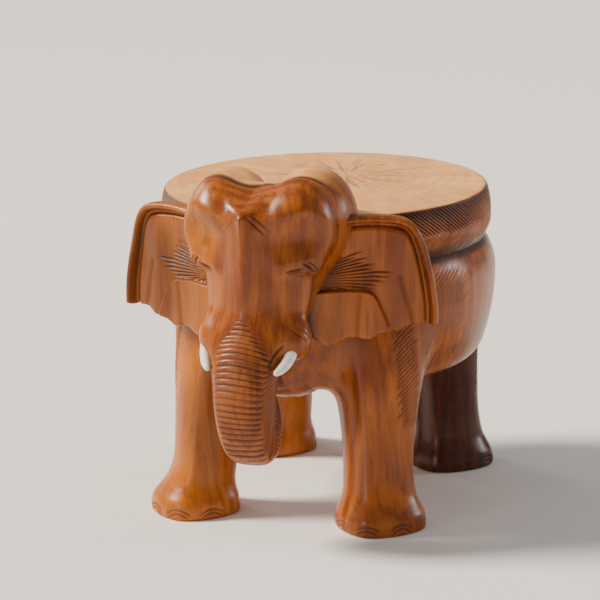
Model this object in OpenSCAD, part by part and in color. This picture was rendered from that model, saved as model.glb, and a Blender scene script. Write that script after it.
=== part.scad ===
// Carved elephant stool: a round seat on the back of a standing elephant, cut from one log.
// The elephant faces -Y, its left side is +X, and its soles stand on z = 0.
// The nodes are the regions of the carving; they meet face to face. The tusks are glued pegs.

/* [Seat] */
// Diameter of the seat's top face
seat_d = 270; // [256:1:280]
// Height of the seat's top face above the floor
seat_z = 260; // [256:1:268]
// Height of the carved band round the seat
band_h = 45; // [38:1:50]
// How far the middle of the band stands past the top face
band_bulge = 3.5; // [1:0.5:6]

/* [Body] */
// Greatest radius of the barrel body
body_r = 142; // [138:1:146]
// Height of that greatest radius
body_r_z = 190; // [180:1:195]
// Radius of the body where the belly begins
belly_r = 121; // [115:1:126]
// Height of the belly above the floor
belly_z = 110; // [106:1:113]
// How far the tail stands out of the rump
tail_proud = 8; // [6:1:12]

/* [Legs] */
// Half of the distance between the left and right soles
foot_x = 81; // [78:1:84]
// Distance of the front soles in front of the seat's axis
front_foot_y = 108; // [104:1:110]
// Distance of the rear soles behind the seat's axis
rear_foot_y = 85; // [82:1:90]
// Radius of a foot at its widest
foot_r = 37; // [34:1:39]
// Radius of a leg at its ankle
ankle_r = 27; // [25:1:29]
// Radius of a leg where it meets the body
thigh_r = 37; // [35:1:40]

/* [Head] */
// Radius of each dome of the forehead
dome_r = 39; // [37:1:41]
// Half of the distance between the middles of the domes
dome_x = 36; // [34:1:37]
// Height of the top of the domes above the floor
head_z = 300; // [297:1:303]
// Distance from the seat's axis to the front of the trunk
trunk_reach = 224; // [222:1:228]
// Half of the trunk's width at its root
trunk_w = 25; // [23:1:26]
// Height of the lowest point of the trunk
trunk_low = 68; // [64:1:72]

/* [Ears] */
// Angle by which the ears sweep back
ear_sweep = 25; // [20:1:30]
// Thickness of an ear's plate
ear_t = 11; // [9:1:13]
// How far the rolled rim stands in front of the plate
ear_rim = 4; // [3:1:6]

/* [Tusks] */
// Radius of a tusk at its root
tusk_r = 4.5; // [4:0.5:6]
// Length of a tusk outside its socket
tusk_l = 27; // [22:1:30]
// Depth of the drilled socket
socket_depth = 13; // [10:1:14]
// Radial room for glue in the socket
glue_gap = 0.1; // [0.05:0.05:0.3]

/* [Hidden] */

WOOD = "#a85a2c";
SEAT_WOOD = "#b8733c";
TUSK_WHITE = "#ece8dc";

// The origin is at the middle of the whole object's outline, so the seat's axis stands behind it.
axis_y = (trunk_reach - (body_r + tail_proud)) / 2;

// The plane where the head meets the seat and the body, and the height where the trunk begins.
neck_y = -100;
chin_z = 150;

band_z = seat_z - band_h;
dome_z = head_z - dome_r;
dome_y = neck_y - dome_r;
far = 400;

// Points round a section with half-width a and half-depth b; power 2 is an ellipse and more is squarer.
function section(a, b, power, sides) = [
    for (i = [0 : sides - 1])
    let (t = 360 * i / sides)
    [a * sign(cos(t)) * pow(abs(cos(t)), 2 / power), b * sign(sin(t)) * pow(abs(sin(t)), 2 / power)]
];

// The same section set at a centre and pitched about X.
function ring(centre, a, b, pitch = 0, power = 2, sides = 32) = [
    for (p = section(a, b, power, sides)) centre + [p[0], p[1] * cos(pitch), p[1] * sin(pitch)]
];

// A closed solid through a list of rings that all have the same number of points.
module loft(rings) {
    count = len(rings[0]);
    last = len(rings) - 1;
    points = [for (r = rings) each r];
    sides = [
        for (k = [0 : last - 1], i = [0 : count - 1])
        let (j = (i + 1) % count)
        each [
            [k * count + i, (k + 1) * count + i, (k + 1) * count + j],
            [k * count + i, (k + 1) * count + j, k * count + j]
        ]
    ];
    floor_cap = [for (i = [0 : count - 1]) i];
    roof_cap = [for (i = [count - 1 : -1 : 0]) last * count + i];
    polyhedron(points, concat([floor_cap], sides, [roof_cap]), convexity = 6);
}

module place() {
    translate([0, axis_y, 0]) children();
}

module in_front_of_neck() {
    translate([-far, neck_y - far, chin_z]) cube([2 * far, far, far]);
}

// Seat -------------------------------------------------------------------------------------

// The whole round seat: a flat top, a bulging band and a groove under it.
module seat_round() {
    top_r = seat_d / 2;
    edge = 2;
    rotate_extrude($fn = 128) polygon([
        [0, band_z],
        [top_r - 3, band_z],
        [top_r + 1, band_z + 3],
        [top_r + band_bulge * 0.8, band_z + band_h * 0.25],
        [top_r + band_bulge, band_z + band_h * 0.5],
        [top_r + band_bulge * 0.7, band_z + band_h * 0.8],
        [top_r + edge, seat_z - edge],
        [top_r, seat_z],
        [0, seat_z]
    ]);
}

module seat() {
    color(SEAT_WOOD) place() difference() {
        seat_round();
        in_front_of_neck();
    }
}

// Body -------------------------------------------------------------------------------------

// The barrel of the body, round like the log that it is cut from.
module barrel() {
    steps = 10;
    low_fall = body_r - belly_r;
    high_fall = 7;
    rotate_extrude($fn = 128) polygon(concat(
        [[0, belly_z], [belly_r - 12, belly_z]],
        [for (i = [1 : steps])
            let (s = i / steps)
            [body_r - low_fall * pow(1 - s, 2), belly_z + 3 + (body_r_z - belly_z - 3) * s]],
        [[body_r - high_fall * 0.3, (body_r_z + band_z) / 2], [body_r - high_fall, band_z], [0, band_z]]
    ));
}

// A shoulder or hip: the leg's upper end spreading into the barrel.
module hip(x, y) {
    hull() {
        translate([x * 0.9, y * 0.8, belly_z]) cylinder(r = thigh_r, h = 1, $fn = 32);
        translate([x * 0.8, y * 0.72, body_r_z - 30]) cylinder(r = thigh_r + 4, h = 10, $fn = 32);
    }
}

module torso() {
    color(WOOD) place() difference() {
        union() {
            barrel();
            for (x = [-foot_x, foot_x], y = [-front_foot_y, rear_foot_y]) hip(x, y);
        }
        in_front_of_neck();
    }
}

// The tail hangs down the rump in relief and ends in a tuft.
module tail() {
    out_y = body_r + tail_proud;
    color(WOOD) place() difference() {
        loft([
            ring([0, out_y - 9, 204], 5, 5, 0, 2, 16),
            ring([0, out_y - 7, 190], 6.5, 7, 0, 2, 16),
            ring([0, out_y - 8, 165], 6, 7, 0, 2, 16),
            ring([0, out_y - 11, 140], 7, 8, 0, 2, 16),
            ring([0, out_y - 15, 122], 8, 8, 0, 2, 16),
            ring([0, out_y - 22, 108], 3, 3, 0, 2, 16)
        ]);
        barrel();
    }
}

// Legs -------------------------------------------------------------------------------------

// One leg: a round foot on its sole, a narrow ankle and a shin that leans in towards the body.
module leg(x, y) {
    sole_r = foot_r - 3;
    foot_top = 30;
    instep_r = ankle_r + 4;
    color(WOOD) place() {
        translate([x, y, 0]) rotate_extrude($fn = 96) polygon([
            [0, 0],
            [sole_r, 0],
            [foot_r - 0.5, 6],
            [foot_r, 12],
            [foot_r - 2, 20],
            [instep_r, foot_top],
            [0, foot_top]
        ]);
        loft([
            ring([x, y, foot_top], instep_r, instep_r),
            ring([x * 0.99, y * 0.97, 42], ankle_r, ankle_r),
            ring([x * 0.97, y * 0.92, 60], ankle_r, ankle_r),
            ring([x * 0.94, y * 0.86, 82], (ankle_r + thigh_r) / 2 - 1, (ankle_r + thigh_r) / 2 - 1),
            ring([x * 0.9, y * 0.8, belly_z], thigh_r, thigh_r)
        ]);
    }
}

module leg_front_left() { leg(foot_x, -front_foot_y); }
module leg_front_right() { leg(-foot_x, -front_foot_y); }
module leg_rear_left() { leg(foot_x, rear_foot_y); }
module leg_rear_right() { leg(-foot_x, rear_foot_y); }

// Head -------------------------------------------------------------------------------------

module ball(x, y, z, r) {
    translate([x, y, z]) sphere(r = r, $fn = 32);
}

// The trunk's section at its root, shared by the head above it and the trunk below it.
root_depth = 23;
root_y = -trunk_reach + root_depth + 3;

module trunk_root() {
    hull() {
        loft([
            ring([0, root_y, chin_z], trunk_w, root_depth, 0, 3, 32),
            ring([0, root_y + 1, chin_z + 4], trunk_w, root_depth, 0, 3, 32)
        ]);
        ball(0, -178, 205, 26);
    }
}

// Half of the head's mass, on the side given by sign s.
module head_side(s) {
    hull() {
        ball(s * dome_x, dome_y, dome_z, dome_r);
        ball(s * 33, -160, 228, 31);
    }
    hull() {
        ball(s * 33, -160, 228, 31);
        ball(s * 36, -165, 180, 25);
    }
    hull() {
        ball(s * 36, -165, 180, 25);
        ball(s * 38, -172, 174, 21);
        ball(s * 16, -165, 172, 22);
    }
    hull() {
        ball(s * 36, dome_y, 232, 33);
        ball(s * 34, -122, 185, 34);
    }
}

module head_solid() {
    intersection() {
        union() {
            for (s = [-1, 1]) head_side(s);
            // Ridge from the top of the forehead down the nose
            hull() {
                ball(0, -190, 264, 17);
                ball(0, -178, 205, 26);
                ball(0, -165, 235, 36);
            }
            // Saddle between the domes
            hull() {
                ball(0, -178, 270, 21);
                ball(0, -130, 262, 28);
            }
            trunk_root();
            // Neck, and the front of the seat and body that the head grows out of
            hull() {
                translate([0, -168, 188]) rotate([-90, 0, 0]) cylinder(r = 38, h = 80, $fn = 32);
                translate([0, -130, 210]) rotate([-90, 0, 0]) cylinder(r = 60, h = 40, $fn = 32);
            }
            seat_round();
            barrel();
        }
        in_front_of_neck();
    }
}

module tusk_axis(s) {
    root = [38, -190, 164];
    translate([s * root[0], root[1], root[2]]) rotate([0, 0, s * -29]) rotate([124, 0, 0]) children();
}

module head() {
    color(WOOD) place() difference() {
        head_solid();
        for (s = [-1, 1]) tusk_axis(s)
            translate([0, 0, -socket_depth]) cylinder(r = tusk_r + glue_gap, h = 2 * socket_depth, $fn = 48);
    }
}

// The trunk hangs down, thins and curls back under itself.
module trunk() {
    color(WOOD) place() loft([
        ring([0, -158, 124], 10, 11, 180, 3),
        ring([0, -156, 112], 13, 14, 172, 3),
        ring([0, -159, trunk_low + 30], 15.5, 16, 150, 3),
        ring([0, -168, trunk_low + 21], 17, 18, 120, 3),
        ring([0, -181, trunk_low + 19], 18, 19, 85, 3),
        ring([0, -191, trunk_low + 25], 19, 20, 45, 3),
        ring([0, -195, trunk_low + 37], 20.5, 20.5, 14, 3),
        ring([0, root_y - 1, 122], 22.5, 22, 3, 3),
        ring([0, root_y - 3, 135], 24, root_depth, 0, 3),
        ring([0, root_y, chin_z], trunk_w, root_depth, 0, 3)
    ]);
}

// Ears -------------------------------------------------------------------------------------

// Outline of an ear: along the ear from the head outwards, then up.
ear_outline = [
    [8, 250], [24, 262], [44, 264], [62, 262], [72, 255], [79, 240], [85, 215], [89, 190], [88, 177],
    [78, 176], [66, 170], [54, 171], [42, 164], [28, 167], [12, 160], [0, 166]
];

// The same outline drawn in from the rolled rim.
ear_hollow = [
    [0, 244], [26, 255], [44, 257], [58, 255], [65, 249], [72, 236], [78, 213], [82, 190], [82, 165], [0, 150]
];

module ear_plate() {
    translate([50, -155, 0]) rotate([0, 0, ear_sweep]) rotate([90, 0, 0]) difference() {
        translate([0, 0, -ear_t]) linear_extrude(ear_t + ear_rim) polygon(ear_outline);
        linear_extrude(ear_rim + 1) polygon(ear_hollow);
    }
}

module ear_left() {
    color(WOOD) place() difference() {
        ear_plate();
        head_solid();
        barrel();
        seat_round();
        hip(foot_x, -front_foot_y);
    }
}

module ear_right() {
    mirror([1, 0, 0]) ear_left();
}

// Tusks ------------------------------------------------------------------------------------

// A blunt white peg; its root fills the socket.
module tusk(s) {
    color(TUSK_WHITE) place() tusk_axis(s) rotate_extrude($fn = 48) polygon([
        [0, -socket_depth + 0.5],
        [tusk_r, -socket_depth + 0.5],
        [tusk_r, tusk_l * 0.3],
        [tusk_r * 0.92, tusk_l * 0.55],
        [tusk_r * 0.66, tusk_l * 0.8],
        [tusk_r * 0.3, tusk_l * 0.96],
        [0, tusk_l]
    ]);
}

module tusk_left() { tusk(1); }
module tusk_right() { tusk(-1); }

seat();
torso();
tail();
head();
trunk();
ear_left();
ear_right();
leg_front_left();
leg_front_right();
leg_rear_left();
leg_rear_right();
tusk_left();
tusk_right();
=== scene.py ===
"""The carved elephant stool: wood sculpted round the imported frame, white tusks, plain floor, soft light.

The sculpt works in millimetres from the foot of the seat's axis: x to the elephant's left, y to its tail,
z up. The body, head, ears and tail are distance fields, which are blended, meshed and then carved along
their normals. The seat and the tusks are rings of points. The trunk's rings, the strokes of hair, the
toenails and the band's herringbone are all real geometry.
"""
import math

import bmesh
import bpy
import numpy as np
import openvdb
from mathutils import Matrix, Vector


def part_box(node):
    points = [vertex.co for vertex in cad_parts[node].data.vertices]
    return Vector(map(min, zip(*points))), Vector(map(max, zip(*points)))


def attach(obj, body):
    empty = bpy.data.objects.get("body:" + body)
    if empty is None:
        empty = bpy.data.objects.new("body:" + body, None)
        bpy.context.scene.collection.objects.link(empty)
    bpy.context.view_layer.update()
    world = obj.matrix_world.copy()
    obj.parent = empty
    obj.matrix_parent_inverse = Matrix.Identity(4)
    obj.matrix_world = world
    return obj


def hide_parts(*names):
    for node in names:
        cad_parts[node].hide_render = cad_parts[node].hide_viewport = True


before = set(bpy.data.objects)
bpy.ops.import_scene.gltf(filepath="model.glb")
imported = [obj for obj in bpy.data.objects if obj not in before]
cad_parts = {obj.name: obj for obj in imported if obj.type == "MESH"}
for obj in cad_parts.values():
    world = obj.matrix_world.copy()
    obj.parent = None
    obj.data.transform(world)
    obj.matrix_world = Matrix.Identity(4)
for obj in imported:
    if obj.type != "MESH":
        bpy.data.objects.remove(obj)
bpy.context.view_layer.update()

MM = 0.001

# ---- Places and sizes taken from the frame ----

seat_low, seat_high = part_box("seat")
# The seat is round and centred across the object, so its axis is one radius in front of its back edge.
AXIS = np.array([0.0, (seat_high.y - seat_high.x) / MM, 0.0])


def box_mm(node):
    """A node's lowest and highest corners in millimetres, measured from the foot of the seat's axis."""
    low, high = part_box(node)
    return np.array(low) / MM - AXIS, np.array(high) / MM - AXIS


BAND_R = seat_high.x / MM
SEAT_Z = seat_high.z / MM
BAND_Z = seat_low.z / MM
BODY_R = box_mm("torso")[1][1]
TOP_Z = box_mm("head")[1][2]
TAIL_Y = box_mm("tail")[1][1]
# Radius of a foot, which gives the middle of each from the edge of its leg's box.
FOOT_R = 37.0
FRONT_X = box_mm("leg_front_left")[1][0] - FOOT_R
FRONT_Y = box_mm("leg_front_left")[0][1] + FOOT_R
REAR_X = box_mm("leg_rear_left")[1][0] - FOOT_R
REAR_Y = box_mm("leg_rear_left")[1][1] - FOOT_R

# ---- Distance fields ----

# Keeps powers and slopes away from zero.
TINY = 1e-4


def egg(x, y, z, centre, radii):
    """An ellipsoid."""
    a = [(p - c) / r for p, c, r in zip((x, y, z), centre, radii)]
    near = np.sqrt(a[0] ** 2 + a[1] ** 2 + a[2] ** 2) + 1e-6
    slope = np.sqrt((a[0] / radii[0]) ** 2 + (a[1] / radii[1]) ** 2 + (a[2] / radii[2]) ** 2) + 1e-9
    return near * (near - 1.0) / slope


def limb(x, y, z, start, end, r_start, r_end):
    """A cone with rounded ends, from start to end."""
    d = [e - s for s, e in zip(start, end)]
    q = [p - s for p, s in zip((x, y, z), start)]
    along = (q[0] * d[0] + q[1] * d[1] + q[2] * d[2]) / (d[0] ** 2 + d[1] ** 2 + d[2] ** 2)
    t = np.clip(along, 0.0, 1.0)
    off = [np.abs(a - t * b) + TINY for a, b in zip(q, d)]
    gap = np.sqrt(off[0] ** 2 + off[1] ** 2 + off[2] ** 2)
    return gap - (r_start + (r_end - r_start) * t)


def join(a, b, k):
    """Union of two fields with a fillet of about k."""
    h = np.maximum(k - np.abs(a - b), 0.0) / k
    return np.minimum(a, b) - h * h * k * 0.25


def meet(a, b, k):
    """Intersection of two fields with an edge rounded by about k."""
    return -join(-a, -b, k)


def cut(a, b, k):
    """Field a with field b scooped out of it."""
    return meet(a, -b, k)


def step(low, high, value):
    """Goes smoothly from 0 at low to 1 at high, whichever of the two is larger."""
    t = np.clip((value - low) / (high - low), 0.0, 1.0)
    return t * t * (3.0 - 2.0 * t)


def band(low, high, soft, value):
    """1 between low and high, fading to 0 over soft on either side."""
    return step(low - soft, low + soft, value) * (1.0 - step(high - soft, high + soft, value))


def spline(points, per_piece):
    """Points on a smooth curve through a list of rows (Catmull-Rom)."""
    p = np.array(points, float)
    p = np.vstack([2 * p[0] - p[1], p, 2 * p[-1] - p[-2]])
    rows = []
    for i in range(1, len(p) - 2):
        for t in np.arange(per_piece) / per_piece:
            rows.append(0.5 * (2 * p[i] + (p[i + 1] - p[i - 1]) * t
                               + (2 * p[i - 1] - 5 * p[i] + 4 * p[i + 1] - p[i + 2]) * t ** 2
                               + (3 * p[i] - p[i - 1] - 3 * p[i + 1] + p[i + 2]) * t ** 3))
    rows.append(p[-2])
    return np.array(rows)


def nearest_on_path(a, b, path):
    """In a plane: distance to a polyline, the station along it in pieces, and which side the point is on."""
    best = None
    for i in range(len(path) - 1):
        da, db = path[i + 1][0] - path[i][0], path[i + 1][1] - path[i][1]
        qa, qb = a - path[i][0], b - path[i][1]
        t = np.clip((qa * da + qb * db) / (da * da + db * db), 0.0, 1.0)
        ra, rb = qa - t * da, qb - t * db
        found = [ra * ra + rb * rb, i + t, np.sign(da * rb - db * ra)]
        if best is None:
            best = found
        else:
            closer = found[0] < best[0]
            best = [np.where(closer, new, old) for new, old in zip(found, best)]
    return np.sqrt(best[0]), best[1], best[2]


def inside_of(a, b, outline):
    """Signed distance to a closed outline in a plane, negative inside."""
    gap = None
    inside = False
    for i in range(len(outline)):
        pa, pb = outline[i]
        na, nb = outline[(i + 1) % len(outline)]
        da, db = na - pa, nb - pb
        qa, qb = a - pa, b - pb
        t = np.clip((qa * da + qb * db) / (da * da + db * db), 0.0, 1.0)
        found = (qa - t * da) ** 2 + (qb - t * db) ** 2
        gap = found if gap is None else np.minimum(gap, found)
        spans = (pb > b) != (nb > b)
        rise = db if abs(db) > 1e-9 else 1e-9
        inside = inside ^ (spans & (qa < qb * da / rise))
    return np.sqrt(gap) * np.where(inside, -1.0, 1.0)


# ---- The masses of the carving ----


def fold_over(x, right_side=1.0):
    """Both halves as one; the carver left the elephant's right half narrower by the factor right_side."""
    return np.where(x < 0.0, -x * right_side, x)


# Heights of the round body's widest ring and of its underside.
BODY_R_Z = 190.0
BELLY_Z = 112.0


def barrel_radius(z):
    """Radius of the round body at a height: widest at BODY_R_Z, less at the belly and under the seat."""
    below = 19.0 * (np.minimum(z - BODY_R_Z, 0.0) / 82.0) ** 2
    above = 7.5 * (np.maximum(z - BODY_R_Z, 0.0) / 25.0) ** 2
    return BODY_R - below - above


# Stations up a leg: height, radius, and where its middle stands as shares of the foot's x and y.
LEG_STATIONS = spline([
    (-20.0, 36.0, 1.0, 1.0),
    (0.0, 37.4, 1.0, 1.0),
    (6.0, 37.8, 1.0, 1.0),
    (14.0, 36.4, 1.0, 1.0),
    (21.0, 33.2, 0.995, 0.995),
    (30.0, 30.2, 0.985, 0.985),
    (45.0, 29.0, 0.97, 0.97),
    (62.0, 29.2, 0.96, 0.95),
    (80.0, 30.6, 0.95, 0.92),
    (98.0, 33.2, 0.93, 0.88),
    (118.0, 37.5, 0.90, 0.83),
    (142.0, 42.5, 0.85, 0.76),
    (168.0, 46.0, 0.79, 0.69),
    (196.0, 44.0, 0.72, 0.60),
], 3)
LEG_TOP_Z = 176.0
LEG_SQUARENESS = 1.62


def leg(x, y, z, foot_x, foot_y):
    """One leg on the +x side: a spreading foot, a narrow ankle and a thigh that grows into the barrel."""
    height = LEG_STATIONS[:, 0]
    radius, share_x, share_y = (np.interp(z, height, LEG_STATIONS[:, c]) for c in (1, 2, 3))
    across = np.abs(x - foot_x * share_x) + TINY
    through = np.abs(y - foot_y * share_y) + TINY
    reach = (across ** LEG_SQUARENESS + through ** LEG_SQUARENESS) ** (1.0 / LEG_SQUARENESS)
    wall = 0.93 * (reach - 1.025 * radius)
    return meet(meet(wall, -z, 3.0), z - LEG_TOP_Z, 30.0)


def body_shape(x, y, z):
    """Barrel, chest and legs."""
    body_right = 1.0 + 0.085 * step(6.0, 50.0, z) * step(212.0, 165.0, z)
    side = fold_over(x, body_right)
    wall = np.sqrt(side * side + y * y) - barrel_radius(z)
    lump = meet(meet(wall, BELLY_Z - z, 20.0), z - (BAND_Z + 6.0), 4.0)
    chest = egg(x, y, z, (0.0, -95.0, 156.0), (66.0, 46.0, 46.0))
    lump = join(lump, chest, 12.0)
    lump = join(lump, leg(side, y, z, FRONT_X, FRONT_Y), 12.0)
    return join(lump, leg(side, y, z, REAR_X, REAR_Y), 14.0)


# Stations of the nose and trunk: y, z, half-width, half-depth, squareness of the section.
TRUNK_STATIONS = [
    (-179.0, 290.0, 13.0, 28.0, 1.4),
    (-179.0, 272.0, 15.0, 28.5, 1.4),
    (-174.5, 248.0, 27.5, 33.0, 1.34),
    (-171.5, 218.0, 41.0, 34.0, 1.36),
    (-175.0, 191.0, 41.0, 29.5, 1.5),
    (-185.0, 167.0, 33.0, 26.0, 1.85),
    (-195.5, 147.0, 27.0, 23.5, 2.2),
    (-200.5, 129.0, 24.0, 22.0, 2.6),
    (-200.0, 112.0, 22.3, 20.5, 3.0),
    (-196.0, 97.0, 21.0, 18.5, 3.2),
    (-187.5, 86.5, 19.5, 18.5, 3.2),
    (-175.0, 85.0, 18.0, 17.0, 3.2),
    (-164.5, 93.0, 16.0, 13.0, 3.0),
    (-160.5, 105.0, 14.0, 10.5, 2.8),
    (-161.5, 117.0, 11.0, 8.5, 2.4),
]
TRUNK_PATH = spline(TRUNK_STATIONS, 10)
TRUNK_ALONG = np.concatenate([[0.0], np.cumsum(np.hypot(*np.diff(TRUNK_PATH[:, :2], axis=0).T))])


def on_trunk(y, z):
    """Where points stand on the trunk: gap to its middle line, length along it, side, and section there."""
    gap, station, side = nearest_on_path(y, z, TRUNK_PATH)
    index = np.arange(len(TRUNK_PATH))
    width, depth, power = (np.interp(station, index, TRUNK_PATH[:, c]) for c in (2, 3, 4))
    return gap, np.interp(station, index, TRUNK_ALONG), side, width, depth, power


def trunk_shape(x, y, z):
    """Nose and trunk: a tube of changing section along a path in the middle plane."""
    gap, _, _, width, depth, power = on_trunk(y, z)
    trunk_right = 0.965 - 0.06 * band(146.0, 176.0, 10.0, z) + 0.11 * band(190.0, 236.0, 10.0, z)
    across = fold_over(x, trunk_right) / width
    through = gap / depth
    reach = (across ** power + through ** power + 1e-9) ** (1.0 / power)
    return (reach - 1.0) * np.minimum(width, depth)


# The left eye's corners, and the ends of the left tusk's visible part.
EYE_INNER = (32.0, -190.5, 227.5)
EYE_OUTER = (44.5, -182.0, 231.5)
TUSK_ROOT = (36.8, -190.0, 166.0)
TUSK_TIP = (28.0, -209.5, 150.0)

# Where the crest over a dome is highest, how much further forward it runs on the right dome, and how it
# bends back to either side of its top.
CREST_X = 38.0
CREST_Y = -160.0
CREST_RIGHT = 8.0
CREST_BEND_OUT = 0.02
CREST_BEND_IN = 0.003


def head_right(z):
    """How much narrower the right half of the head is: most at its cheek and the top of its dome."""
    return 1.04 + 0.09 * step(240.0, 292.0, z) + 0.1 * band(160.0, 222.0, 10.0, z)


def behind_crest(x, y, z):
    """How far a point is behind the crest, where the head's polished front ends and its end grain starts."""
    across = fold_over(x, head_right(z)) - CREST_X
    bend = np.where(across > 0.0, CREST_BEND_OUT, CREST_BEND_IN)
    return y - (CREST_Y + bend * across ** 2 - CREST_RIGHT * step(10.0, -8.0, x))


def head_shape(x, y, z):
    """Domes, forehead, eyelids, cheeks, neck, nose and trunk."""
    side = fold_over(x, head_right(z))
    crown = egg(side, y, z, (36.5, -160.0, TOP_Z - 38.0), (29.0, 34.0, 38.0))
    back = egg(side, y, z + 4.0 * step(0.0, -24.0, x), (36.0, -134.0, TOP_Z - 41.5), (35.5, 41.0, 44.0))
    skull = join(crown, back, 5.0)
    saddle = egg(x, y, z, (0.0, -152.0, 250.0), (34.0, 38.0, 33.0))
    skull = join(skull, saddle, 12.0)
    forehead = egg(side, y, z, (22.5, -163.0, 259.0), (36.0, 36.5, 31.0))
    skull = join(skull, forehead, 12.0)
    temple = egg(side, y, z, (25.0, -147.0, 214.0), (25.0, 34.0, 42.0))
    skull = join(skull, temple, 18.0)
    socket = limb(side, y, z, (20.0, -213.0, 250.0), (54.0, -197.5, 255.0), 18.0, 19.5)
    skull = cut(skull, socket, 10.0)
    # The nose's ridge ends on a slope in the valley between the domes.
    valley = 0.96 * (z - 288.5 - 0.28 * (y + 160.0))
    skull = join(skull, meet(trunk_shape(x, y, z), valley, 5.0), 11.0)
    lid = limb(side, y, z, (27.0, -186.5, 232.0), (49.0, -172.5, 232.5), 5.5, 6.5)
    skull = join(skull, lid, 8.0)
    cheek = egg(side, y, z, (36.5, -180.5, 171.0), (12.5, 15.0, 15.0))
    skull = join(skull, cheek, 12.0)
    neck = egg(x, y, z, (0.0, -104.0, 186.0), (64.0, 46.0, 84.0))
    return join(skull, neck, 12.0)


# An ear's outlines, as distance out from the head and height. Its plate leans back by EAR_SWEEP.
EAR_SWEEP = math.radians(25.0)
EAR_ROOT = (50.0, -155.0)
EAR_TOP_EDGE = spline([(-16, 259), (10, 264), (30, 266), (50, 265.5), (66, 263), (76, 256.5), (83, 243),
                       (88, 223), (91.5, 203), (93, 188), (93, 175)], 4)
EAR_LOW_EDGE = spline([(93, 175), (84, 174), (76, 174.5), (69, 173), (62, 169.5), (54, 170), (46, 168.5),
                       (38, 164), (30, 165.5), (20, 166.5), (12, 162.5), (4, 161), (-6, 166), (-16, 176)], 3)
EAR_OUTLINE = np.vstack([EAR_TOP_EDGE, EAR_LOW_EDGE[1:]])
LOBE_EDGE = spline([(-22, 205), (0, 206), (20, 206), (36, 204), (43, 199), (48, 188), (53, 176),
                    (56, 160)], 3)
EAR_LOBE = np.vstack([LOBE_EDGE, [(56, 120), (-22, 120)]])
EAR_THICKNESS = 9.0
RIM_WIDTH = 6.0


def on_ear(x, y):
    """How far out along an ear and how far in front of its plate."""
    dx, dy = x - EAR_ROOT[0], y - EAR_ROOT[1]
    out = dx * math.cos(EAR_SWEEP) + dy * math.sin(EAR_SWEEP)
    front = dx * math.sin(EAR_SWEEP) - dy * math.cos(EAR_SWEEP)
    return out, front


def ear_shape(x, y, z):
    """One ear on the +x side: a waved plate with a rolled rim and an overlapping lower lobe."""
    out, front = on_ear(x, y)
    edge = inside_of(out, z, EAR_OUTLINE)
    rim_gap, _, _ = nearest_on_path(out, z, EAR_TOP_EDGE)
    wave = 2.1 * np.cos((out - 56.0) / 8.0) * band(40.0, 90.0, 8.0, out) * step(262.0, 225.0, z)
    dish = 3.0 * np.sin(np.clip(out / 93.0, 0.0, 1.0) * math.pi)
    lobe = 4.0 * (1.0 - step(-1.2, 1.2, inside_of(out, z, EAR_LOBE)))
    roll = 4.0 * (1.0 - step(RIM_WIDTH - 2.0, RIM_WIDTH + 1.0, rim_gap))
    crease = 2.8 * np.exp(-((rim_gap - RIM_WIDTH - 2.0) / 2.4) ** 2)
    face = front - (wave - dish + lobe + roll - crease)
    plate = meet(face, -front - EAR_THICKNESS - dish, 5.0)
    return meet(plate, edge, 5.0)


# ---- From field to mesh ----


def mesh_of(shape, low, high, voxel):
    """Points and quads on the zero surface of a field inside a box."""
    axes = [np.arange(a, b + voxel, voxel, dtype=np.float32) for a, b in zip(low, high)]
    x = axes[0][:, None, None]
    y = axes[1][None, :, None]
    z = axes[2][None, None, :]
    field = np.broadcast_to(shape(x, y, z), [len(a) for a in axes]).astype(np.float32)
    limit = 3.0 * voxel
    grid = openvdb.FloatGrid(limit)
    grid.copyFromArray(np.ascontiguousarray(np.clip(field, -limit, limit)))
    points, quads = grid.convertToQuads(0.0)
    return points.astype(np.float64) * voxel + np.array(low), quads


def slope_of(shape, p):
    """Unit normals of a field at points, and the length of its gradient."""
    reach = 0.4
    columns = []
    for axis in range(3):
        shift = np.zeros(3)
        shift[axis] = reach
        columns.append((shape(*(p + shift).T) - shape(*(p - shift).T)) / (2.0 * reach))
    g = np.stack(columns, -1)
    length = np.linalg.norm(g, axis=1) + 1e-9
    return g / length[:, None], length


def settle(shape, p, rounds=3, limit=1.5):
    """Moves points onto the zero surface of a field."""
    for _ in range(rounds):
        normal, length = slope_of(shape, p)
        move = np.clip(shape(*p.T) / np.maximum(length, 0.3), -limit, limit)
        p = p - normal * move[:, None]
    return p


def relax(p, quads):
    """Evens out the spacing of a mesh's points, in two rounds."""
    for _ in range(2):
        total = np.zeros_like(p)
        count = np.zeros(len(p))
        for a, b in ((0, 1), (1, 2), (2, 3), (3, 0)):
            for one, other in ((a, b), (b, a)):
                for axis in range(3):
                    total[:, axis] += np.bincount(quads[:, one], p[quads[:, other], axis], len(p))
                count += np.bincount(quads[:, one], minlength=len(p))
        p = 0.5 * p + 0.5 * total / np.maximum(count, 1)[:, None]
    return p


def add_object(name, data):
    """A new object in the scene, for a mesh, a light or a camera."""
    thing = bpy.data.objects.new(name, data)
    bpy.context.scene.collection.objects.link(thing)
    return thing


def new_object(name, p, faces):
    """A mesh object from points in millimetres."""
    mesh = bpy.data.meshes.new(name)
    mesh.from_pydata(((p + AXIS) * MM).tolist(), [], [list(f) for f in faces])
    mesh.update()
    return add_object(name, mesh)


def points_of(thing):
    """An object's points in millimetres from the foot of the seat's axis."""
    co = np.zeros(len(thing.data.vertices) * 3)
    thing.data.vertices.foreach_get("co", co)
    return co.reshape(-1, 3) / MM - AXIS


def put_points(thing, p):
    """Moves an object's points to places in millimetres from the foot of the seat's axis."""
    thing.data.vertices.foreach_set("co", ((p + AXIS) * MM).ravel())
    thing.data.update()


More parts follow.
